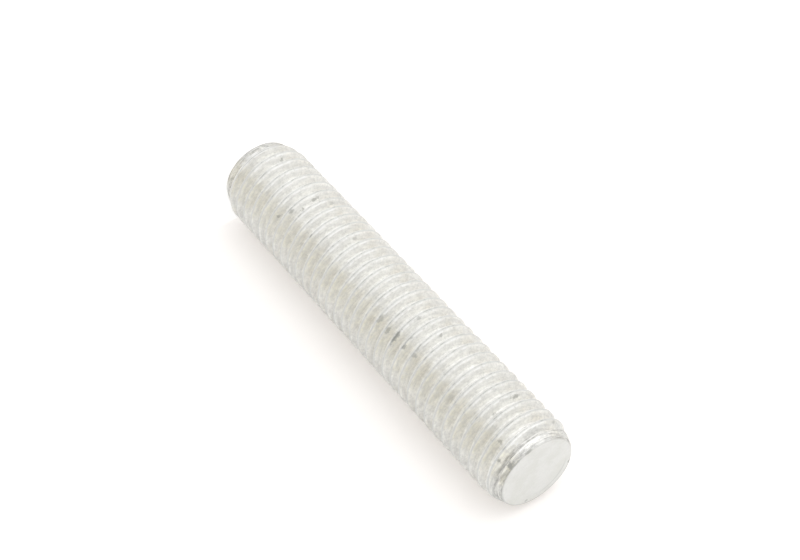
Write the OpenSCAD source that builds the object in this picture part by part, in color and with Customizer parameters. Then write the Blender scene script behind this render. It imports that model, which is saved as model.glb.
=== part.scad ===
// Fully threaded stud bolt, standing on one end with its axis along +Z.
// One bar: a right-hand helical thread runs from end to end, and both ends have a long, slender
// chamfer that goes nearly down to the bottom of the thread.

/* [Thread] */
// Nominal thread diameter
thread_d = 12; // [8:0.5:16]
// Axial distance from one crest to the next
pitch = 1.75; // [1.25:0.05:2.25]
// Taken off the nominal diameter at the crests, so that a nut runs freely
fit_allowance = 0.15; // [0:0.01:0.4]
// Angle between the two flanks of a groove
flank_angle = 60; // [50:1:62]
// Thread depth as a share of the pitch
depth_share = 0.57; // [0.45:0.005:0.58]
// Width of the flat crest as a share of the pitch
crest_share = 0.17; // [0.1:0.005:0.25]
// Turn of the thread about the axis
thread_turn = 109; // [0:1:359]

/* [Ends] */
// Length over both end faces
stud_len = 60; // [40:1:80]
// Slope of the end chamfers, measured from the end face
chamfer_angle = 70; // [45:1:75]
// How far the edge of each end face lies inside the crests
chamfer_depth = 0.875; // [0.3:0.005:1.5]

/* [Hidden] */
$fn = 96;
crest_r = (thread_d - fit_allowance) / 2;
depth = depth_share * pitch;
root_r = crest_r - depth;

// Widths along the axis of one crest and of one flank.
crest_w = crest_share * pitch;
flank_w = depth * tan(flank_angle / 2);

// The helix starts below the lower end and stops above the upper one, and the ends are cut from it.
run_out = 2;
turns = ceil(stud_len / pitch) + 2 * run_out;

// Straight steps in one turn, fewer on a long fine thread.
steps = 4 * max(4, floor(320 / turns));
last = turns * steps;

// Radius of the end faces.
face_r = crest_r - chamfer_depth;

// The thread's section has four corners: root, crest, crest, root.
corner_r = [root_r, crest_r, crest_r, root_r];
corner_z = [0, flank_w, flank_w + crest_w, 2 * flank_w + crest_w];

// Corner k of the section at step i along the helix.
function thread_point(k, i) =
  let (turn = i / steps)
  [
    corner_r[k] * cos(360 * turn),
    corner_r[k] * sin(360 * turn),
    corner_z[k] + pitch * (turn - run_out)
  ];

// A bar with the helical thread on it, closed by a fan of facets at each end.
module threaded_bar() {
  low = 4 * (last + 1);
  high = low + 1;
  tip = 4 * last;
  seam = 4 * (last - steps) + 3;
  axis_points = [[0, 0, (1 - run_out) * pitch], [0, 0, (turns - run_out) * pitch]];
  points = concat([for (i = [0:last], k = [0:3]) thread_point(k, i)], axis_points);
  ridge = [
    for (i = [0:last - 1], k = [0:2])
      let (a = 4 * i + k)
      [a, a + 1, a + 5, a + 4]
  ];
  root = [
    for (i = [0:last - steps - 1])
      let (a = 4 * i + 3, b = 4 * (i + steps))
      [a, b, b + 4, a + 4]
  ];
  low_fan = concat(
    [for (i = [0:steps - 1]) [4 * i, 4 * i + 4, low]],
    [[1, 0, low], [2, 1, low], [3, 2, low], [4 * steps, 3, low]]
  );
  high_fan = concat(
    [for (i = [last - steps:last - 1]) [4 * i + 7, 4 * i + 3, high]],
    [[tip + 2, tip + 3, high], [tip + 1, tip + 2, high], [tip, tip + 1, high], [seam, tip, high]]
  );
  polyhedron(points, concat(ridge, root, low_fan, high_fan), convexity = 10);
}

// What the lathe takes off an end at z = 0: all below the face, and all outside the chamfer's cone.
module end_trim() {
  clear = (run_out + 2) * pitch;
  reach = crest_r + pitch;
  rise = (reach - face_r) * tan(chamfer_angle);
  rotate_extrude()
    polygon([[0, 0], [face_r, 0], [reach, rise], [reach, -clear], [0, -clear]]);
}

module stud() {
  color([0.80, 0.80, 0.77])
    difference() {
      rotate([0, 0, thread_turn])
        threaded_bar();
      end_trim();
      translate([0, 0, stud_len])
        mirror([0, 0, 1])
          end_trim();
    }
}

stud();
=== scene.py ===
import logging
import math
from dataclasses import dataclass, field
from enum import Enum
from functools import reduce

import bmesh
import bpy
from mathutils import Matrix, Vector, noise


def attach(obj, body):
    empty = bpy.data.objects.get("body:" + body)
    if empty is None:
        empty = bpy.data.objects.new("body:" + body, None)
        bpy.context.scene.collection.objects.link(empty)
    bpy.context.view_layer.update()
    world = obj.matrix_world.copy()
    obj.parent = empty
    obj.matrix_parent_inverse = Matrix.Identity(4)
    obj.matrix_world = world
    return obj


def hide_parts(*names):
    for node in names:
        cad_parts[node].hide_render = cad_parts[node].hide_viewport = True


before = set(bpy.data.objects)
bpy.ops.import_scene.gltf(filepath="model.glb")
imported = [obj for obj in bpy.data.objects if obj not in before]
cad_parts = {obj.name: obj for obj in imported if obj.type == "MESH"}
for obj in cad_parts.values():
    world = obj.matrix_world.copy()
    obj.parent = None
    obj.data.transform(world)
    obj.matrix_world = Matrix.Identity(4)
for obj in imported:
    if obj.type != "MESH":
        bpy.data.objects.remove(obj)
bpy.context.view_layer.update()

MM = 0.001
IMAGE_WIDTH_PX = 800
SENSOR_MM = 36.0
UP = Vector((0.0, 0.0, 1.0))
log = logging.getLogger("stud_bolt")

Colour = tuple[float, float, float]
Socket = bpy.types.NodeSocket
Value = Socket | float

# Between these values lies nearly all of a noise texture
NOISE_LOW = 0.3
NOISE_HIGH = 0.7


def direction(azimuth: float, elevation: float) -> Vector:
    """Gives the way from the stud to a place round it.

    Args:
        azimuth: The turn round the stud in degrees, from -Y towards +X.
        elevation: The rise above level in degrees.

    Returns:
        A vector of length 1.
    """
    turn = math.radians(azimuth)
    lift = math.radians(elevation)
    return Vector((math.sin(turn) * math.cos(lift), -math.cos(turn) * math.cos(lift), math.sin(lift)))


def radial(turn: float) -> Vector:
    """Gives the level way out from the axis at a turn in degrees from +X, of length 1."""
    return Vector((math.cos(math.radians(turn)), math.sin(math.radians(turn)), 0.0))


def smooth_share(value: float, low: float, high: float) -> float:
    """Gives a share that rises smoothly from 0 at one value to 1 at another."""
    share = min(1.0, max(0.0, (value - low) / (high - low)))
    return share * share * (3.0 - 2.0 * share)


class Blend(Enum):
    """How one colour goes over another."""

    MIX = "MIX"
    MULTIPLY = "MULTIPLY"


class Nodes:
    """A node tree with short ways to add and join nodes."""

    # Places of the colour sockets on a Mix node
    MIX_SHARE = 0
    MIX_FIRST = 6
    MIX_SECOND = 7
    MIX_RESULT = 2

    def __init__(self, tree: bpy.types.NodeTree) -> None:
        """Takes over a tree and empties it."""
        self.tree = tree
        tree.nodes.clear()

    def add(self, kind: str, inputs: dict[str | int, object] | None = None,
            **settings: object) -> bpy.types.Node:
        """Adds one node.

        Args:
            kind: The node's type, without the leading ShaderNode.
            inputs: A value or a socket to join, for each named input.
            settings: Properties of the node itself.

        Returns:
            The new node.
        """
        node = self.tree.nodes.new("ShaderNode" + kind)
        for name, value in settings.items():
            setattr(node, name, value)
        for name, value in (inputs or {}).items():
            self._fill(node.inputs[name], value)
        return node

    def _fill(self, socket: Socket, value: object) -> None:
        """Joins an input to another node's socket, or gives it a value.

        Args:
            socket: The input.
            value: The other node's socket, or the value.
        """
        if isinstance(value, Socket):
            self.tree.links.new(value, socket)
        else:
            socket.default_value = value

    def math(self, operation: str, *values: Value) -> Socket:
        """Does one sum on numbers or sockets.

        Args:
            operation: The Math node's operation.
            values: Its inputs in order.

        Returns:
            The result's socket.
        """
        return self.add("Math", dict(enumerate(values)), operation=operation).outputs[0]

    def product(self, *values: Value) -> Socket:
        """Multiplies two or more numbers or sockets."""
        return reduce(lambda first, second: self.math("MULTIPLY", first, second), values)

    def inverse(self, share: Socket) -> Socket:
        """Gives what a share leaves of 1."""
        return self.math("SUBTRACT", 1.0, share)

    def vector(self, operation: str, *values: object, **named: object) -> Socket:
        """Does one sum on vectors.

        Args:
            operation: The Vector Math node's operation.
            values: Its inputs in order.
            named: Inputs that are given by name.

        Returns:
            The result's socket, a number or a vector.
        """
        node = self.add("VectorMath", {**dict(enumerate(values)), **named}, operation=operation)
        return next(socket for socket in node.outputs if socket.enabled)

    def ramp(self, value: Socket, low: float, high: float, to_low: Value = 0.0,
             to_high: Value = 1.0) -> Socket:
        """Maps a value smoothly from one range to another.

        Args:
            value: The socket to map.
            low: Where the ramp starts.
            high: Where it ends.
            to_low: The result below the ramp.
            to_high: The result above it.

        Returns:
            The result's socket.
        """
        inputs = {"Value": value, "From Min": low, "From Max": high, "To Min": to_low, "To Max": to_high}
        return self.add("MapRange", inputs, interpolation_type="SMOOTHSTEP").outputs[0]

    def noise(self, vector: Socket, scale: float, detail: float, roughness: float) -> Socket:
        """Adds a noise texture.

        Args:
            vector: Where the noise is read.
            scale: Its scale.
            detail: Its octaves.
            roughness: How strong the finer octaves are.

        Returns:
            The noise as a number around 0.5.
        """
        inputs = {"Vector": vector, "Scale": scale, "Detail": detail, "Roughness": roughness}
        return self.add("TexNoise", inputs).outputs[0]

    def blend(self, share: Value, first: Colour | Socket, second: Colour | Socket,
              kind: Blend = Blend.MIX) -> Socket:
        """Lays one colour over another.

        Args:
            share: How much of the second.
            first: The first colour or socket.
            second: The second colour or socket.
            kind: How the second goes over the first.

        Returns:
            The mixed colour's socket.
        """
        node = self.add("Mix", {self.MIX_SHARE: share}, data_type="RGBA", blend_type=kind.value)
        for index, value in ((self.MIX_FIRST, first), (self.MIX_SECOND, second)):
            self._fill(node.inputs[index], value if isinstance(value, Socket) else (*value, 1.0))
        return node.outputs[self.MIX_RESULT]

    def combine(self, x: Value, y: Value, z: Value) -> Socket:
        """Makes a vector of three numbers or sockets."""
        return self.add("CombineXYZ", {"X": x, "Y": y, "Z": z}).outputs[0]


@dataclass(frozen=True)
class Ramp:
    """A smooth step: one value below a range of some measure, and another above it."""

    low: float
    high: float
    to_low: float = 0.0
    to_high: float = 1.0

    def of(self, nodes: Nodes, measure: Socket) -> Socket:
        """Gives the step's value at a measure."""
        return nodes.ramp(measure, self.low, self.high, self.to_low, self.to_high)


@dataclass(frozen=True)
class Stripe:
    """A soft stripe at one value of some measure, full over a share of its half width."""

    middle: float
    half: float
    full: float = 0.25

    def of(self, nodes: Nodes, measure: Socket) -> Socket:
        """Gives the stripe's mask at a measure, from 0 to 1."""
        away = nodes.math("ABSOLUTE", nodes.math("SUBTRACT", measure, self.middle))
        return nodes.ramp(away, self.full * self.half, self.half, 1.0, 0.0)


@dataclass(frozen=True)
class Facing:
    """A mask for one side of the stud.

    Attributes:
        turn: The side's turn round the axis, in degrees.
        low: The cosine of the angle from that side where the mask starts.
        high: The cosine where it is full.
        to_low: The mask far from that side.
        to_high: The mask where it is full.
    """

    turn: float
    low: float
    high: float
    to_low: float = 0.0
    to_high: float = 1.0

    def of(self, nodes: Nodes, around: Socket) -> Socket:
        """Gives the mask for a direction from the axis."""
        facing = nodes.vector("DOT_PRODUCT", around, radial(self.turn))
        return nodes.ramp(facing, self.low, self.high, self.to_low, self.to_high)


@dataclass(frozen=True)
class Spot:
    """Where a shaded point lies on the stud, as sockets. Lengths are in millimetres.

    Attributes:
        place: The point itself.
        around: The direction from the axis, of length 1.
        lift: The height along the axis, as a vector.
        off_crest: The height above the middle of the nearest crest.
        below_crest: How far inside the crests it lies.
        from_rim: How far inside the end faces' edge it lies.
        from_end: How far it is from the nearest end face, along the axis.
        side: 1 on the thread and the chamfers, 0 on the end faces.
    """

    place: Socket
    around: Socket
    lift: Socket
    off_crest: Socket
    below_crest: Socket
    from_rim: Socket
    from_end: Socket
    side: Socket

    @classmethod
    def on(cls, nodes: Nodes, stud: "Stud") -> "Spot":
        """Works out the measures of the point that is shaded.

        Args:
            nodes: The tree that they are worked out in.
            stud: The stud, for its sizes.

        Returns:
            The measures' sockets.
        """
        metres = nodes.add("TexCoord").outputs["Object"]
        place = nodes.vector("SCALE", metres, Scale=1.0 / MM)
        x, y, height = nodes.add("SeparateXYZ", {0: place}).outputs
        level = nodes.combine(x, y, 0.0)
        radius = nodes.vector("LENGTH", level)
        middle = stud.length / 2
        from_middle = nodes.math("ABSOLUTE", nodes.math("SUBTRACT", height, middle))
        from_end = nodes.math("SUBTRACT", middle, from_middle)
        turns_up = nodes.math("DIVIDE", height, stud.pitch)
        turns_round = nodes.math("DIVIDE", nodes.math("ARCTAN2", y, x), math.tau)
        turns = nodes.math("ADD", nodes.math("SUBTRACT", turns_up, turns_round), stud.crest_start)
        near_crest = nodes.math("WRAP", turns, 0.5, -0.5)
        return cls(
            place=place,
            around=nodes.vector("NORMALIZE", level),
            lift=nodes.combine(0.0, 0.0, height),
            off_crest=nodes.math("MULTIPLY", near_crest, stud.pitch),
            below_crest=nodes.math("SUBTRACT", stud.crest_r, radius),
            from_rim=nodes.math("SUBTRACT", stud.face_r, radius),
            from_end=from_end,
            side=stud.face_edge.of(nodes, from_end),
        )


@dataclass(frozen=True)
class Cloud:
    """Noise that is alike in all directions. Its scale is for each millimetre."""

    scale: float
    detail: float
    roughness: float

    def of(self, nodes: Nodes, spot: Spot) -> Socket:
        """Gives the noise at a spot, around 0.5."""
        return nodes.noise(spot.place, self.scale, self.detail, self.roughness)


@dataclass(frozen=True)
class Streaks:
    """Noise that is drawn out round the stud. The lift's scale is for each millimetre."""

    turn_scale: float
    lift_scale: float
    detail: float
    roughness: float = 0.6

    def of(self, nodes: Nodes, spot: Spot) -> Socket:
        """Reads the noise.

        Args:
            nodes: The tree that it is drawn in.
            spot: The point that is shaded.

        Returns:
            The noise as a number around 0.5.
        """
        ring = nodes.vector("SCALE", spot.around, Scale=self.turn_scale)
        rise = nodes.vector("SCALE", spot.lift, Scale=self.lift_scale)
        return nodes.noise(nodes.vector("ADD", ring, rise), 1.0, self.detail, self.roughness)


@dataclass(frozen=True)
class Texture:
    """The noises that the plating is painted with, as sockets.

    Attributes:
        blotch: Broad blotches, from 0 to 1.
        grain: Fine grain, around 0.5.
        drag: Fine streaks round the stud, around 0.5, and 0 on the end faces.
        patchy: Long patches that break up lines along the thread, around 0.5.
    """

    blotch: Socket
    grain: Socket
    drag: Socket
    patchy: Socket


@dataclass(frozen=True)
class EndFaces:
    """The sawn end faces: faint blotches, a dark worn edge and part of a ring left by the saw."""

    plain: Colour = (0.856, 0.852, 0.828)
    mottle: Colour = (0.785, 0.787, 0.752)
    mottle_share: float = 0.7
    stained_rim: Colour = (0.80, 0.788, 0.755)
    rim: Ramp = Ramp(0.45, 0.55, 0.5, 0.0)
    worn_edge: Colour = (0.52, 0.52, 0.50)
    edge: Ramp = Ramp(0.04, 0.22, 0.45, 0.0)
    ring: Stripe = Stripe(0.80, 0.20)
    ring_side: Facing = Facing(178.0, 0.72, 0.95, 0.0, 0.30)

    def paint(self, nodes: Nodes, spot: Spot, texture: Texture, outside: Colour) -> Socket:
        """Paints the end faces.

        Args:
            nodes: The tree that they are painted in.
            spot: The point that is shaded.
            texture: The noises to paint with.
            outside: The plain colour of the rest of the stud.

        Returns:
            The colour's socket.
        """
        on_face = nodes.inverse(spot.side)
        colour = nodes.blend(nodes.product(texture.blotch, self.mottle_share), self.plain, self.mottle)
        colour = nodes.blend(spot.side, colour, outside)
        rim = nodes.product(self.rim.of(nodes, spot.from_rim), texture.blotch, on_face)
        colour = nodes.blend(rim, colour, self.stained_rim)
        edge = nodes.product(self.edge.of(nodes, spot.from_rim), on_face)
        colour = nodes.blend(edge, colour, self.worn_edge)
        ring = self.ring.of(nodes, spot.from_rim)
        ring = nodes.product(ring, self.ring_side.of(nodes, spot.around), on_face)
        return nodes.blend(ring, colour, self.worn_edge)


@dataclass(frozen=True)
class Flanks:
    """The plating on the thread's flanks and roots: mottled, with less mottle on the lit side as a painted
    highlight, a stain on the shaded side that is partly painted warm shade, and painted light in the
    roots.
    """

    pale: Colour = (0.905, 0.902, 0.875)
    mottle: Colour = (0.86, 0.842, 0.79)
    # Less mottle on the lit side, which is left paler: a painted highlight.
    mottle_shade_side: Facing = Facing(-37.0, 0.80, 0.98, 1.0, 0.1)
    mottle_blotches: Ramp = Ramp(0.0, 1.0, 0.45, 1.0)
    mottle_spread: Ramp = Ramp(0.0, 1.0, 0.25, 1.0)
    # A stain on the shaded side, stronger near the crests: partly stain, partly painted warm shade.
    stain_and_warm_shade: Colour = (0.795, 0.77, 0.665)
    warm_shade_side: Facing = Facing(10.0, 0.86, 1.0)
    stain_cloud: Cloud = Cloud(1.3, 5.0, 0.7)
    stain_patches: Ramp = Ramp(0.32, 0.66, 0.22, 0.95)
    stain_and_shade_fade: Ramp = Ramp(0.22, 0.60, 1.0, 0.3)
    # Painted light in the roots, most on the shaded side, lifting the shade of the grooves.
    root_light: Colour = (0.96, 0.955, 0.935)
    root_light_band: Ramp = Ramp(0.52, 0.86)
    root_light_side: Facing = Facing(10.0, 0.6, 0.9, 0.1, 0.3)
    root_light_patches: Ramp = Ramp(0.35, 0.6, 0.2, 1.3)

    def paint(self, nodes: Nodes, spot: Spot, texture: Texture, colour: Socket) -> Socket:
        """Paints the flanks and roots, with their painted highlight, warm shade and root light.

        Args:
            nodes: The tree that they are painted in.
            spot: The point that is shaded.
            texture: The noises to paint with.
            colour: The colour so far.

        Returns:
            The new colour's socket.
        """
        from_crest = nodes.math("ABSOLUTE", spot.off_crest)
        # Mottle, thinned on the lit side as a painted highlight.
        spread = nodes.product(spot.side, self.mottle_shade_side.of(nodes, spot.around))
        spread = self.mottle_spread.of(nodes, spread)
        mottled = nodes.product(self.mottle_blotches.of(nodes, texture.blotch), spread)
        colour = nodes.blend(mottled, colour, self.mottle)
        # Stain, partly painted warm shade on the shaded side.
        stained_and_shaded = nodes.product(
            spot.side,
            self.warm_shade_side.of(nodes, spot.around),
            self.stain_patches.of(nodes, self.stain_cloud.of(nodes, spot)),
            self.stain_and_shade_fade.of(nodes, from_crest),
        )
        colour = nodes.blend(stained_and_shaded, colour, self.stain_and_warm_shade)
        # Painted light in the roots.
        root = nodes.product(
            self.root_light_band.of(nodes, from_crest),
            spot.side,
            self.root_light_side.of(nodes, spot.around),
            self.root_light_patches.of(nodes, texture.patchy),
        )
        return nodes.blend(root, colour, self.root_light)


@dataclass(frozen=True)
class Tone:
    """How light or dark the plating is: specks, streaks round the stud, and painted highlights (glints)
    and painted shade on the cut ends.
    """

    end: Ramp = Ramp(1.0, 2.2, 1.0, 0.0)
    streak: Ramp = Ramp(0.0, 1.0, 0.09, 0.20)
    end_dim: float = 0.125
    speck_low: Ramp = Ramp(0.0, 1.0, 0.985, 0.88)
    speck_high: Ramp = Ramp(0.0, 1.0, 1.045, 1.10)
    # Painted highlights on the chamfers of the cut ends, strongest on the lit side.
    glints: tuple[Stripe, Stripe] = (Stripe(1.75, 0.36), Stripe(0.8, 0.30))
    glint_side: Facing = Facing(-8.0, 0.80, 0.98, 0.15, 1.0)
    glint_share: float = 0.20
    # Painted shade in the groove behind the chamfer and at the chamfer's brink by the end face.
    groove_shade: Stripe = Stripe(1.25, 0.26)
    brink_shade: Ramp = Ramp(0.1, 0.45, 1.0, 0.0)
    shade_share: float = 0.13
    cut_patches: Ramp = Ramp(0.3, 0.6, 0.4, 1.0)

    def of(self, nodes: Nodes, spot: Spot, texture: Texture) -> Socket:
        """Works out the tone.

        Args:
            nodes: The tree that it is worked out in.
            spot: The point that is shaded.
            texture: The noises to paint with.

        Returns:
            The factor for the colour, around 1.
        """
        streak = self._streak(nodes, spot, texture)
        speck = nodes.ramp(
            texture.grain, NOISE_LOW, NOISE_HIGH,
            self.speck_low.of(nodes, spot.side), self.speck_high.of(nodes, spot.side),
        )
        # Painted highlights on the cut ends.
        lit = nodes.math("MAXIMUM", *(glint.of(nodes, spot.from_end) for glint in self.glints))
        lit = nodes.product(lit, self.glint_side.of(nodes, spot.around), self.glint_share)
        # Painted shade on the cut ends.
        groove_shade = self.groove_shade.of(nodes, spot.from_end)
        dark = nodes.math("MAXIMUM", groove_shade, self.brink_shade.of(nodes, spot.from_end))
        dark = nodes.product(dark, self.shade_share)
        cut = nodes.math("SUBTRACT", lit, dark)
        cut = nodes.product(cut, self.cut_patches.of(nodes, texture.patchy), spot.side)
        return nodes.math("ADD", nodes.math("ADD", streak, speck), cut)

    def _streak(self, nodes: Nodes, spot: Spot, texture: Texture) -> Socket:
        """Draws streaks round the stud, stronger and dimmer near its ends.

        Args:
            nodes: The tree that they are drawn in.
            spot: The point that is shaded.
            texture: The noises to paint with.

        Returns:
            What the streaks add to the tone, around 0.
        """
        end = self.end.of(nodes, spot.from_end)
        swing = nodes.product(self.streak.of(nodes, end), spot.side)
        dimmed = nodes.math("ADD", swing, nodes.product(end, spot.side, self.end_dim))
        lowest = nodes.product(dimmed, -1.0)
        highest = nodes.math("MULTIPLY_ADD", swing, 2.0, lowest)
        return nodes.ramp(texture.drag, NOISE_LOW, NOISE_HIGH, lowest, highest)


@dataclass(frozen=True)
class Crests:
    """The worn crests: flats darkened partly by wear and partly by painted shade, painted shade along the
    fold in their middle, painted highlight lines at their edges, and a band of painted shade on the upper
    flanks.
    """

    top: Ramp = Ramp(0.25, 0.35, 1.0, 0.0)
    # The crest flats take this colour, partly wear and partly painted shade; the band of painted shade on
    # the upper flanks takes it too.
    worn: Colour = (0.76, 0.76, 0.735)
    upper_flank_shade: Stripe = Stripe(0.40, 0.16)
    upper_flank_shade_share: float = 0.25
    flat: Stripe = Stripe(0.0, 0.22)
    # Painted shade in the fold along each crest's middle, strongest on the lit side.
    fold_shade: Colour = (0.54, 0.54, 0.51)
    fold: Stripe = Stripe(0.0, 0.09)
    fold_shade_patches: Ramp = Ramp(0.34, 0.56, 0.9, 0.0)
    fold_shade_side: Facing = Facing(-37.0, 0.72, 0.90, 0.25, 1.0)
    # Painted highlights, partly rubbed metal, as thin lines at the crests' edges; the upper line lies
    # mainly on the lit side.
    rubbed: Colour = (0.99, 0.987, 0.97)
    lower_line: Stripe = Stripe(-0.15, 0.075)
    lower_share: float = 0.85
    upper_line: Stripe = Stripe(0.23, 0.075)
    upper_highlight_side: Facing = Facing(-37.0, 0.84, 0.95, 0.05, 1.0)
    highlight_patches: Ramp = Ramp(0.38, 0.58)

    def paint(self, nodes: Nodes, spot: Spot, texture: Texture, colour: Socket) -> tuple[Socket, Socket]:
        """Paints the crests.

        Args:
            nodes: The tree that they are painted in.
            spot: The point that is shaded.
            texture: The noises to paint with.
            colour: The colour so far.

        Returns:
            The new colour's socket, and the mask of the painted highlight lines.
        """
        crest = nodes.product(self.top.of(nodes, spot.below_crest), spot.side)
        # Painted shade: a band on the upper flanks.
        upper_flank_shade = nodes.product(self.upper_flank_shade.of(nodes, spot.off_crest), self.upper_flank_shade_share, spot.side)
        colour = nodes.blend(upper_flank_shade, colour, self.worn)
        # The crest flats: partly wear, partly painted shade.
        flat = nodes.product(self.flat.of(nodes, spot.off_crest), crest)
        colour = nodes.blend(flat, colour, self.worn)
        # Painted shade in the fold along each crest.
        fold = nodes.product(
            self.fold.of(nodes, spot.off_crest),
            crest,
            self.fold_shade_patches.of(nodes, texture.patchy),
            self.fold_shade_side.of(nodes, spot.around),
        )
        colour = nodes.blend(fold, colour, self.fold_shade)
        # Painted highlights, partly rubbed metal: the lines at the crests' edges.
        lower = nodes.product(self.lower_line.of(nodes, spot.off_crest), self.lower_share)
        upper = self.upper_line.of(nodes, spot.off_crest)
        upper = nodes.product(upper, self.upper_highlight_side.of(nodes, spot.around))
        lines = nodes.math("MAXIMUM", lower, upper)
        bright = nodes.product(lines, crest, self.highlight_patches.of(nodes, texture.patchy))
        return nodes.blend(bright, colour, self.rubbed), bright


@dataclass(frozen=True)
class Mark:
    """A dark nick in the plating.

    Attributes:
        height: The height of its middle along the axis, in millimetres.
        turn: Its turn round the axis, in degrees.
        half_length: Half its length along the thread, in millimetres.
        half_width: Half its width across the thread, in millimetres.
        strength: How much of the nick's colour its middle has.
        radius: How far from the axis its middle lies, in millimetres.
        half_reach: How far it reaches in and out, in millimetres.
        depth: How deep it is pushed in, in millimetres.
        rise: The slope of the thread that it runs along.
        full: The share of its size over which it is at full strength.
    """

    height: float
    turn: float
    half_length: float
    half_width: float
    strength: float
    radius: float = 5.75
    half_reach: float = 2.0
    depth: float = 0.06
    rise: float = 0.048
    full: float = 0.35

    @property
    def out(self) -> Vector:
        """The way out from the axis at the nick, of length 1."""
        return radial(self.turn)

    @property
    def along(self) -> Vector:
        """The way along the thread at the nick, of length 1."""
        return Vector((-self.out.y, self.out.x, self.rise)).normalized()

    @property
    def across(self) -> Vector:
        """The way across the thread at the nick."""
        return self.out.cross(self.along)

    @property
    def middle(self) -> Vector:
        """The nick's middle, in millimetres."""
        return self.out * self.radius + UP * self.height

    def share(self, nodes: Nodes, place: Socket, ragged: Socket) -> Socket:
        """Makes the nick's mask.

        Args:
            nodes: The tree that it is drawn in.
            place: The point on the stud, in millimetres.
            ragged: How far the nick's edge moves in or out there, as a share of its size.

        Returns:
            The nick's share of the colour at that point, from 0 to its strength.
        """
        off = nodes.vector("SUBTRACT", place, self.middle)
        reach = nodes.combine(
            nodes.math("DIVIDE", nodes.vector("DOT_PRODUCT", off, self.along), self.half_length),
            nodes.math("DIVIDE", nodes.vector("DOT_PRODUCT", off, self.across), self.half_width),
            nodes.math("DIVIDE", nodes.vector("DOT_PRODUCT", off, self.out), self.half_reach),
        )
        away = nodes.math("ADD", nodes.vector("LENGTH", reach), ragged)
        return nodes.ramp(away, self.full, 1.0, self.strength, 0.0)

    def dent(self, point: Vector) -> float:
        """Gives how far the nick pushes in a point of the stud.

        Args:
            point: The point, in millimetres.

        Returns:
            The depth in millimetres, 0 outside the nick.
        """
        off = point - self.middle
        away = math.hypot(off.dot(self.along) / self.half_length, off.dot(self.across) / self.half_width)
        return self.depth * max(0.0, 1.0 - away * away)


@dataclass(frozen=True)
class Nicks:
    """The nicks and smudges of the visible side, with ragged edges."""

    colour: Colour = (0.42, 0.42, 0.39)
    ragged: float = 0.30
    marks: tuple[Mark, ...] = (
        # On the upper chamfer and its edge
        Mark(59.6, 1.0, 0.62, 0.42, 0.95, radius=5.3),
        Mark(59.92, -28.0, 0.95, 0.16, 0.80, radius=5.05, half_reach=0.30, depth=0.0),
        Mark(59.92, -8.0, 0.80, 0.14, 0.60, radius=5.05, half_reach=0.30, depth=0.0),
        Mark(58.2, 5.5, 0.38, 0.26, 0.85, radius=5.5),
        Mark(57.8, -86.0, 0.40, 0.15, 0.40, radius=5.6),
        # Along the thread, from the upper end down
        Mark(56.7, -10.5, 0.35, 0.30, 0.55),
        Mark(53.3, -29.0, 0.40, 0.18, 0.60),
        Mark(52.8, -67.0, 1.10, 0.16, 0.65),
        Mark(48.75, 1.2, 0.65, 0.32, 0.80),
        Mark(40.6, -48.0, 0.35, 0.15, 0.50),
        Mark(40.6, -5.5, 0.40, 0.30, 0.55),
        Mark(40.5, -13.5, 0.40, 0.20, 0.50),
        Mark(38.8, -4.0, 0.50, 0.25, 0.70),
        Mark(38.7, -17.0, 0.30, 0.15, 0.45),
        Mark(37.0, -4.5, 1.45, 0.27, 1.00),
        Mark(37.0, -41.0, 0.45, 0.16, 0.50),
        Mark(35.4, -3.0, 0.60, 0.24, 0.65),
        Mark(33.6, -6.0, 0.90, 0.25, 0.55),
        Mark(21.4, -54.5, 0.50, 0.15, 0.38),
        Mark(17.6, -12.5, 0.35, 0.20, 0.55),
        Mark(15.3, 22.0, 0.35, 0.20, 0.55),
        Mark(14.3, -68.3, 0.60, 0.18, 0.35),
        Mark(13.0, -29.0, 0.45, 0.18, 0.60),
        Mark(12.7, -51.5, 0.85, 0.16, 0.65),
        Mark(12.6, -15.0, 0.50, 0.18, 0.60),
        Mark(11.2, 3.0, 0.35, 0.20, 0.60),
        Mark(4.0, -58.6, 0.38, 0.22, 0.70),
        # On the lower chamfer
        Mark(1.1, -21.0, 0.80, 0.18, 0.75, radius=5.4),
        # On the edge of the upper face
        Mark(60.0, -151.0, 0.45, 0.35, 0.60, radius=4.95, half_reach=0.35, depth=0.0),
        Mark(60.0, 118.0, 0.35, 0.30, 0.40, radius=4.6, half_reach=0.3, depth=0.0),
    )

    def paint(self, nodes: Nodes, spot: Spot, texture: Texture, colour: Socket) -> Socket:
        """Paints the nicks.

        Args:
            nodes: The tree that they are painted in.
            spot: The point that is shaded.
            texture: The noises to paint with.
            colour: The colour so far.

        Returns:
            The new colour's socket.
        """
        ragged = nodes.ramp(texture.grain, NOISE_LOW, NOISE_HIGH, -self.ragged, self.ragged)
        share = 0.0
        for mark in self.marks:
            share = nodes.math("MAXIMUM", share, mark.share(nodes, spot.place, ragged))
        return nodes.blend(share, colour, self.colour)

    def dent(self, point: Vector) -> float:
        """Gives how far the deepest nick pushes in a point of the stud, in millimetres."""
        return max(mark.dent(point) for mark in self.marks)


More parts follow.
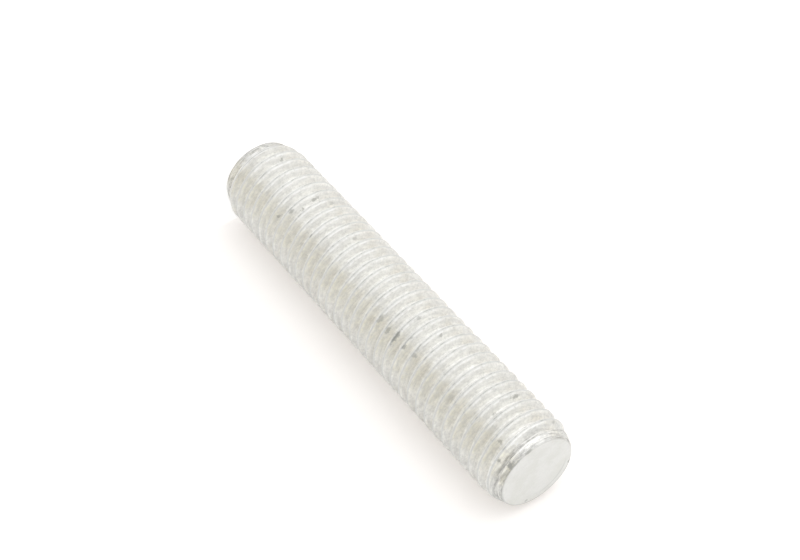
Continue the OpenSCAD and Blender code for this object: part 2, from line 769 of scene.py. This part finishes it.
@dataclass(frozen=True)
class ZincFinish:
    """Pale satin zinc plating on a rolled thread. The bump's height is in millimetres."""

    name: str = "zinc"
    blotch_cloud: Cloud = Cloud(0.34, 4.0, 0.6)
    blotches: Ramp = Ramp(0.42, 0.66)
    grain: Cloud = Cloud(2.6, 5.0, 0.75)
    drag: Streaks = Streaks(4.5, 7.0, 4.0)
    patches: Streaks = Streaks(9.0, 1.1, 3.0)
    faces: EndFaces = EndFaces()
    flanks: Flanks = Flanks()
    tone: Tone = Tone()
    crests: Crests = Crests()
    nicks: Nicks = Nicks()
    roughness: float = 0.56
    rubbed_roughness: float = 0.40
    uneven_roughness: float = 0.06
    bump_height: float = 0.02
    bump_strength: float = 0.5
    grain_relief: float = 0.7
    drag_relief: float = 0.5

    def material(self, stud: "Stud") -> bpy.types.Material:
        """Makes the plating's material.

        Args:
            stud: The stud that wears it, for its sizes.

        Returns:
            The new material.
        """
        made = bpy.data.materials.new(self.name)
        made.use_nodes = True
        nodes = Nodes(made.node_tree)
        spot = Spot.on(nodes, stud)
        texture = self._texture(nodes, spot)
        colour = self.faces.paint(nodes, spot, texture, self.flanks.pale)
        colour = self.flanks.paint(nodes, spot, texture, colour)
        tone = self.tone.of(nodes, spot, texture)
        colour = nodes.blend(1.0, colour, nodes.combine(tone, tone, tone), Blend.MULTIPLY)
        colour, bright = self.crests.paint(nodes, spot, texture, colour)
        colour = self.nicks.paint(nodes, spot, texture, colour)
        shader = nodes.add("BsdfPrincipled", {
            "Base Color": colour,
            "Metallic": 1.0,
            "Roughness": self._roughness(nodes, texture, bright),
            "Normal": self._bump(nodes, texture),
        })
        nodes.add("OutputMaterial", {"Surface": shader.outputs[0]})
        return made

    def _texture(self, nodes: Nodes, spot: Spot) -> Texture:
        """Makes the noises that the plating is painted with.

        Args:
            nodes: The tree that they are drawn in.
            spot: The point that is shaded.

        Returns:
            The noises' sockets.
        """
        return Texture(
            blotch=self.blotches.of(nodes, self.blotch_cloud.of(nodes, spot)),
            grain=self.grain.of(nodes, spot),
            drag=nodes.product(self.drag.of(nodes, spot), spot.side),
            patchy=self.patches.of(nodes, spot),
        )

    def _roughness(self, nodes: Nodes, texture: Texture, bright: Socket) -> Socket:
        """Makes the roughness, uneven by the grain and less on the painted highlight lines.

        Args:
            nodes: The tree that it is worked out in.
            texture: The noises to paint with.
            bright: The mask of the painted highlight lines.

        Returns:
            The roughness's socket.
        """
        swing = self.uneven_roughness
        uneven = nodes.ramp(texture.grain, NOISE_LOW, NOISE_HIGH, -swing, swing)
        base = nodes.math("ADD", uneven, self.roughness)
        return nodes.math("MULTIPLY_ADD", bright, self.rubbed_roughness - self.roughness, base)

    def _bump(self, nodes: Nodes, texture: Texture) -> Socket:
        """Makes the fine relief of grain and streaks.

        Args:
            nodes: The tree that it is drawn in.
            texture: The noises to paint with.

        Returns:
            The bumped normal's socket.
        """
        grain = nodes.product(texture.grain, self.grain_relief)
        relief = nodes.math("MULTIPLY_ADD", texture.drag, self.drag_relief, grain)
        inputs = {"Strength": self.bump_strength, "Distance": self.bump_height * MM, "Height": relief}
        return nodes.add("Bump", inputs).outputs[0]


@dataclass
class Stud:
    """A bar threaded from end to end and chamfered at both ends. Sizes are in millimetres.

    Attributes:
        length: The length over both end faces.
        crest_r: The radius of the crests.
        pitch: The height from one crest to the next.
        depth: The depth of the thread.
        crest_w: The width of a crest's flat.
        thread_turn: The turn at which the thread starts, in degrees.
        flank_deg: The slope of a flank against the level, in degrees.
        face_r: The radius of the end faces.
        chamfer_deg: The slope of the chamfers against the end faces, in degrees.
        face_edge: How the plating goes from the faces to the sides, by the height from the face.
        crest_round: The size of the rounding at the crests.
        root_round: The size of the rounding at the roots.
        round_steps: The facets of a rounding.
        seam_w: The width of the fold along a crest.
        seam_depth: The depth of that fold.
        worn_depth: How far the crests are worn down at most.
        worn_from: How far below the crests the wear starts.
        worn_full: How far below the crests it is full.
        worn_scale: The scale of the worn patches, for each millimetre.
        worn_limit: The value of the noise at which a patch is worn most.
        steps: The facets of one turn.
        spare_turns: The turns wound past each end before the ends are cut.
        merge_gap: Points nearer than this are merged while the bar is made.
        weld_gap: Points nearer than this are merged after the ends are cut.
        cut_gap: Points nearer than this to a cut lie on it.
        sharp_deg: Edges with a greater angle stay sharp, in degrees.
    """

    length: float = 60.0
    crest_r: float = 5.925
    pitch: float = 1.75
    depth: float = 0.9975
    crest_w: float = 0.2975
    thread_turn: float = 109.0
    flank_deg: float = 30.0
    face_r: float = 5.05
    chamfer_deg: float = 70.0
    face_edge: Ramp = Ramp(0.02, 0.06)
    crest_round: float = 0.05
    root_round: float = 0.12
    round_steps: int = 2
    seam_w: float = 0.14
    seam_depth: float = 0.05
    worn_depth: float = 0.05
    worn_from: float = 0.3
    worn_full: float = 0.05
    worn_scale: float = 0.9
    worn_limit: float = 0.6
    steps: int = 96
    spare_turns: int = 2
    merge_gap: float = 1e-4
    weld_gap: float = 2e-4
    cut_gap: float = 1e-6
    sharp_deg: float = 24.0
    finish: ZincFinish = field(default_factory=ZincFinish)

    @property
    def root_r(self) -> float:
        """Radius at the bottom of the thread."""
        return self.crest_r - self.depth

    @property
    def flank_w(self) -> float:
        """Width of one flank along the axis."""
        return self.depth * math.tan(math.radians(self.flank_deg))

    @property
    def crest_middle(self) -> float:
        """Height of a crest's middle above the foot of its lower flank."""
        return self.flank_w + self.crest_w / 2

    @property
    def crest_start(self) -> float:
        """Turns from the middle of a crest to the height 0, at the turn 0."""
        return self.thread_turn / 360.0 - self.crest_middle / self.pitch

    def build(self) -> bpy.types.Object:
        """Models the stud, cuts its ends and dresses it.

        Returns:
            The finished object, in metres.
        """
        bar = self._threaded_bar()
        blank = self._lathe_blank()
        trim = bar.modifiers.new("ends", "BOOLEAN")
        trim.operation = "INTERSECT"
        trim.solver = "EXACT"
        trim.object = blank
        graph = bpy.context.evaluated_depsgraph_get()
        mesh = bpy.data.meshes.new_from_object(bar.evaluated_get(graph))
        for spare in (bar, blank):
            bpy.data.objects.remove(spare)
        self._clean(mesh)
        mesh.materials.clear()
        mesh.materials.append(self.finish.material(self))
        mesh.name = "threaded_stud"
        stud = bpy.data.objects.new("threaded_stud", mesh)
        bpy.context.scene.collection.objects.link(stud)
        return stud

    def _threaded_bar(self) -> bpy.types.Object:
        """Winds the thread's section along its helix, with spare turns past both ends, and closes it.

        Returns:
            The threaded bar, in millimetres.
        """
        bm = bmesh.new()
        self._section(bm)
        bmesh.ops.spin(
            bm, geom=bm.verts[:] + bm.edges[:], cent=(0, 0, 0), axis=UP, angle=math.tau,
            steps=self.steps, dvec=UP * (self.pitch / self.steps), use_merge=False,
        )
        one_turn = bm.verts[:] + bm.edges[:] + bm.faces[:]
        turns = math.ceil(self.length / self.pitch) + 2 * self.spare_turns
        for turn in range(1, turns):
            copy = bmesh.ops.duplicate(bm, geom=one_turn)["geom"]
            points = [item for item in copy if isinstance(item, bmesh.types.BMVert)]
            bmesh.ops.translate(bm, verts=points, vec=UP * (turn * self.pitch))
        bmesh.ops.translate(bm, verts=bm.verts[:], vec=UP * (-self.spare_turns * self.pitch))
        started = Matrix.Rotation(math.radians(self.thread_turn), 3, "Z")
        bmesh.ops.rotate(bm, verts=bm.verts[:], cent=(0, 0, 0), matrix=started)
        bmesh.ops.remove_doubles(bm, verts=bm.verts[:], dist=self.merge_gap)
        self._close(bm)
        bmesh.ops.recalc_face_normals(bm, faces=bm.faces[:])
        return self._as_object(bm, "bar")

    def _section(self, bm: bmesh.types.BMesh) -> None:
        """Draws one pitch of the thread's outline, from the middle of a root to the middle of the next.

        Args:
            bm: The empty mesh that it is drawn in.
        """
        root_half = (self.pitch - 2 * self.flank_w - self.crest_w) / 2
        corners = [
            (self.root_r, -root_half),
            (self.root_r, 0.0),
            (self.crest_r, self.flank_w),
            (self.crest_r, self.crest_middle - self.seam_w / 2),
            (self.crest_r - self.seam_depth, self.crest_middle),
            (self.crest_r, self.crest_middle + self.seam_w / 2),
            (self.crest_r, self.flank_w + self.crest_w),
            (self.root_r, 2 * self.flank_w + self.crest_w),
            (self.root_r, self.pitch - root_half),
        ]
        chain = [bm.verts.new((r, 0.0, z)) for r, z in corners]
        for pair in zip(chain, chain[1:]):
            bm.edges.new(pair)
        roots = (chain[1], chain[-2])
        crests = (chain[2], chain[-3])
        for points, size in ((roots, self.root_round), (crests, self.crest_round)):
            bmesh.ops.bevel(
                bm, geom=points, offset=size, affect="VERTICES", segments=self.round_steps, profile=0.5,
                material=-1,
            )
        flanks = [edge for edge in bm.edges if edge.calc_length() > self.depth / 2]
        bmesh.ops.subdivide_edges(bm, edges=flanks, cuts=1)

    def _close(self, bm: bmesh.types.BMesh) -> None:
        """Cuts the wound thread half a pitch past both ends and fills the cuts.

        Args:
            bm: The mesh of the wound thread.
        """
        for height, way in ((-self.pitch / 2, -UP), (self.length + self.pitch / 2, UP)):
            cut = bmesh.ops.bisect_plane(
                bm, geom=bm.verts[:] + bm.edges[:] + bm.faces[:], dist=self.cut_gap,
                plane_co=UP * height, plane_no=way, clear_outer=True,
            )
            rim = [item for item in cut["geom_cut"] if isinstance(item, bmesh.types.BMEdge)]
            bmesh.ops.edgeloop_fill(bm, edges=rim)

    def _lathe_blank(self) -> bpy.types.Object:
        """Turns the plain bar that the thread's ends are cut to: two flat faces and two chamfers.

        Returns:
            The plain bar, in millimetres.
        """
        bm = bmesh.new()
        reach = self.crest_r + self.pitch
        rise = (reach - self.face_r) * math.tan(math.radians(self.chamfer_deg))
        outline = [
            (0.0, 0.0),
            (self.face_r, 0.0),
            (reach, rise),
            (reach, self.length - rise),
            (self.face_r, self.length),
            (0.0, self.length),
        ]
        chain = [bm.verts.new((r, 0.0, z)) for r, z in outline]
        edges = [bm.edges.new(pair) for pair in zip(chain, chain[1:])]
        bmesh.ops.spin(
            bm, geom=chain + edges, cent=(0, 0, 0), axis=UP, angle=math.tau,
            steps=2 * self.steps, use_merge=True,
        )
        bmesh.ops.remove_doubles(bm, verts=bm.verts[:], dist=self.merge_gap)
        bmesh.ops.recalc_face_normals(bm, faces=bm.faces[:])
        return self._as_object(bm, "blank")

    @staticmethod
    def _as_object(bm: bmesh.types.BMesh, name: str) -> bpy.types.Object:
        """Puts a mesh under work into the scene as an object.

        Args:
            bm: The mesh under work.
            name: The object's name.

        Returns:
            The new object.
        """
        mesh = bpy.data.meshes.new(name)
        bm.to_mesh(mesh)
        bm.free()
        made = bpy.data.objects.new(name, mesh)
        bpy.context.scene.collection.objects.link(made)
        return made

    def _clean(self, mesh: bpy.types.Mesh) -> None:
        """Merges doubles, wears the crests, scales to metres and smooths all but sharp edges.

        Args:
            mesh: The stud's mesh after its ends are cut, in millimetres.
        """
        bm = bmesh.new()
        bm.from_mesh(mesh)
        bmesh.ops.remove_doubles(bm, verts=bm.verts[:], dist=self.weld_gap)
        self._wear(bm.verts)
        bmesh.ops.recalc_face_normals(bm, faces=bm.faces[:])
        bmesh.ops.scale(bm, vec=(MM, MM, MM), verts=bm.verts[:])
        bm.to_mesh(mesh)
        bm.free()
        mesh.shade_smooth()
        mesh.set_sharp_from_angle(angle=math.radians(self.sharp_deg))

    def _wear(self, points: bmesh.types.BMVertSeq) -> None:
        """Rubs the crests down unevenly and pushes the nicks into them.

        Args:
            points: The points of the stud's mesh, in millimetres.
        """
        for point in points:
            radius = point.co.xy.length
            near = smooth_share(radius, self.crest_r - self.worn_from, self.crest_r - self.worn_full)
            if near == 0.0:
                continue
            patch = smooth_share(noise.noise(point.co * self.worn_scale), 0.0, self.worn_limit)
            rubbed = self.worn_depth * near * patch
            nicked = self.finish.nicks.dent(point.co)
            point.co.xy *= 1.0 - max(rubbed, nicked) / radius


@dataclass(frozen=True)
class Lamp:
    """One square lamp, aimed at the stud. Lengths in millimetres, angles in degrees, power in watts."""

    name: str
    azimuth: float
    elevation: float
    distance: float
    size: float
    power: float

    def hang(self, aim: Vector) -> None:
        """Hangs the lamp.

        Args:
            aim: The point that it faces, in metres.
        """
        way = direction(self.azimuth, self.elevation)
        lamp = bpy.data.lights.new(self.name, "AREA")
        lamp.energy = self.power
        lamp.size = self.size * MM
        held = bpy.data.objects.new(self.name, lamp)
        held.location = aim + way * self.distance * MM
        held.rotation_euler = way.to_track_quat("Z", "Y").to_euler()
        held.visible_camera = False
        bpy.context.scene.collection.objects.link(held)


@dataclass(frozen=True)
class SheetFinish:
    """Matt white paper, clear from behind, with a glow that keeps it white where it is seen.

    Attributes:
        name: The material's name.
        glow: The glow that the camera sees.
        matt: The paper's own level.
        mirrored: Its level in reflections.
        seen_through: The light that comes through it, in reflections.
    """

    name: str
    glow: Colour
    matt: float = 0.82
    mirrored: float = 0.68
    seen_through: float = 0.17

    def material(self) -> bpy.types.Material:
        """Makes the material.

        Returns:
            The new material.
        """
        made = bpy.data.materials.new(self.name)
        made.use_nodes = True
        nodes = Nodes(made.node_tree)
        path = nodes.add("LightPath").outputs
        shown = nodes.math("MAXIMUM", path["Is Camera Ray"], path["Is Transmission Ray"])
        level = nodes.ramp(path["Is Glossy Ray"], 0.0, 1.0, self.matt, self.mirrored)
        matt = nodes.add("BsdfDiffuse", {"Color": nodes.combine(level, level, level)})
        glow = nodes.add("Emission", {"Color": (*self.glow, 1.0), "Strength": shown})
        through = nodes.product(path["Is Glossy Ray"], self.seen_through)
        lit = nodes.add("Emission", {"Strength": through})
        glows = nodes.add("AddShader", {0: glow.outputs[0], 1: lit.outputs[0]})
        front = nodes.add("AddShader", {0: matt.outputs[0], 1: glows.outputs[0]})
        back = nodes.add("BsdfTransparent")
        from_behind = nodes.add("NewGeometry").outputs["Backfacing"]
        both = nodes.add("MixShader", {0: from_behind, 1: front.outputs[0], 2: back.outputs[0]})
        nodes.add("OutputMaterial", {"Surface": both.outputs[0]})
        return made


@dataclass
class Stage:
    """The white sheet that the stud lies against, the floor under its foot, the lamps and the world.

    Attributes:
        sheet_azimuth: The way that the sheet faces, in degrees.
        sheet_gap: How far the sheet is from the stud's axis, in millimetres.
        floor_gap: How far the floor is under the stud, in millimetres.
        half_size: Half the width of the sheet and of the floor, in millimetres.
        sheet_finish: The sheet's paper.
        floor_finish: The floor's paper.
        fill_level: The world's strength.
        mirrored_level: The world's strength in reflections.
        bright_azimuth: The side on which the world is brighter, in degrees.
        bright_elevation: The height of that side, in degrees.
        lean: How much brighter it is there, as a share.
        aim: The point that the lamps face, in millimetres.
        lamps: The lamps.
    """

    sheet_azimuth: float = 45.0
    sheet_gap: float = 5.93
    floor_gap: float = 0.01
    half_size: float = 900.0
    sheet_finish: SheetFinish = SheetFinish("white_sheet", (0.235, 0.208, 0.187))
    floor_finish: SheetFinish = SheetFinish("white_floor", (0.45, 0.44, 0.43))
    fill_level: float = 1.08
    mirrored_level: float = 0.915
    bright_azimuth: float = -25.0
    bright_elevation: float = 10.0
    lean: float = 0.09
    aim: tuple[float, float, float] = (0.0, 0.0, 30.0)
    lamps: tuple[Lamp, ...] = (
        Lamp("key", azimuth=26.0, elevation=14.0, distance=300.0, size=200.0, power=0.12),
    )

    def lay(self) -> None:
        """Puts up the sheet beside the stud and the floor under it."""
        out = direction(self.sheet_azimuth, 0.0)
        facing = out.to_track_quat("Z", "Y").to_matrix().to_4x4()
        upright = Matrix.Translation(-out * self.sheet_gap * MM) @ facing
        self._plane("sheet", upright, self.sheet_finish.material())
        level = Matrix.Translation(-UP * self.floor_gap * MM)
        floor = self._plane("floor", level, self.floor_finish.material())
        floor.visible_glossy = False
        floor.visible_diffuse = False
        floor.visible_shadow = False

    def _plane(self, name: str, place: Matrix, material: bpy.types.Material) -> bpy.types.Object:
        """Makes one flat square of the stage.

        Args:
            name: The object's name.
            place: Where it lies and which way it faces.
            material: Its material.

        Returns:
            The new object.
        """
        bm = bmesh.new()
        bmesh.ops.create_grid(bm, x_segments=1, y_segments=1, size=self.half_size * MM, matrix=place)
        mesh = bpy.data.meshes.new(name)
        bm.to_mesh(mesh)
        bm.free()
        mesh.materials.append(material)
        plane = bpy.data.objects.new(name, mesh)
        bpy.context.scene.collection.objects.link(plane)
        return plane

    def light(self) -> None:
        """Fills the world with soft white and hangs the lamps."""
        world = bpy.data.worlds.new("soft_white")
        bpy.context.scene.world = world
        world.use_nodes = True
        nodes = Nodes(world.node_tree)
        path = nodes.add("LightPath").outputs
        level = nodes.ramp(path["Is Glossy Ray"], 0.0, 1.0, self.fill_level, self.mirrored_level)
        bright_way = direction(self.bright_azimuth, self.bright_elevation)
        way = nodes.add("TexCoord").outputs["Generated"]
        facing = nodes.vector("DOT_PRODUCT", way, bright_way)
        leaning = nodes.product(level, nodes.math("MULTIPLY_ADD", facing, self.lean, 1.0))
        shown = nodes.math("MAXIMUM", path["Is Camera Ray"], path["Is Transmission Ray"])
        strength = nodes.math("MAXIMUM", leaning, shown)
        sky = nodes.add("Background", {"Color": (1.0, 1.0, 1.0, 1.0), "Strength": strength})
        nodes.add("OutputWorld", {"Surface": sky.outputs[0]})
        for lamp in self.lamps:
            lamp.hang(Vector(self.aim) * MM)


@dataclass
class PhotoCamera:
    """The photograph's camera, as seen from the standing stud: rolled until the stud lies.

    Attributes:
        aim: The point in the middle of the picture, in millimetres.
        azimuth: The camera's turn round the stud, in degrees.
        elevation: Its height above level, in degrees.
        distance: How far it is from that point, in millimetres.
        roll: Its turn about its own axis, in degrees.
        focal_px: Its focal length, in pixels of the picture.
        nearest: The nearest thing that it shows, in millimetres.
    """

    aim: tuple[float, float, float] = (-1.182, -3.614, 27.623)
    azimuth: float = 73.004
    elevation: float = 33.960
    distance: float = 235.908
    roll: float = -136.409
    focal_px: float = 1900.0
    nearest: float = 1.0

    def place(self) -> None:
        """Sets up the camera and makes it the scene's own."""
        back = direction(self.azimuth, self.elevation)
        upright = (UP - back * back.z).normalized()
        level = upright.cross(back)
        tilt = math.radians(self.roll)
        up = upright * math.cos(tilt) + level * math.sin(tilt)
        right = up.cross(back)
        data = bpy.data.cameras.new("photo_camera")
        data.sensor_width = SENSOR_MM
        data.lens = self.focal_px * SENSOR_MM / IMAGE_WIDTH_PX
        data.clip_start = self.nearest * MM
        camera = bpy.data.objects.new("photo_camera", data)
        spot = (Vector(self.aim) + back * self.distance) * MM
        camera.matrix_world = Matrix.Translation(spot) @ Matrix((right, up, back)).transposed().to_4x4()
        bpy.context.scene.collection.objects.link(camera)
        bpy.context.scene.camera = camera


def main() -> None:
    logging.basicConfig(level=logging.INFO)
    bpy.context.scene.view_settings.view_transform = "Standard"
    stud = Stud().build()
    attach(stud, "root")
    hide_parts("stud")
    log.info("%s: %d faces", stud.name, len(stud.data.polygons))
    stage = Stage()
    stage.lay()
    stage.light()
    PhotoCamera().place()


if __name__ == "__main__":
    main()
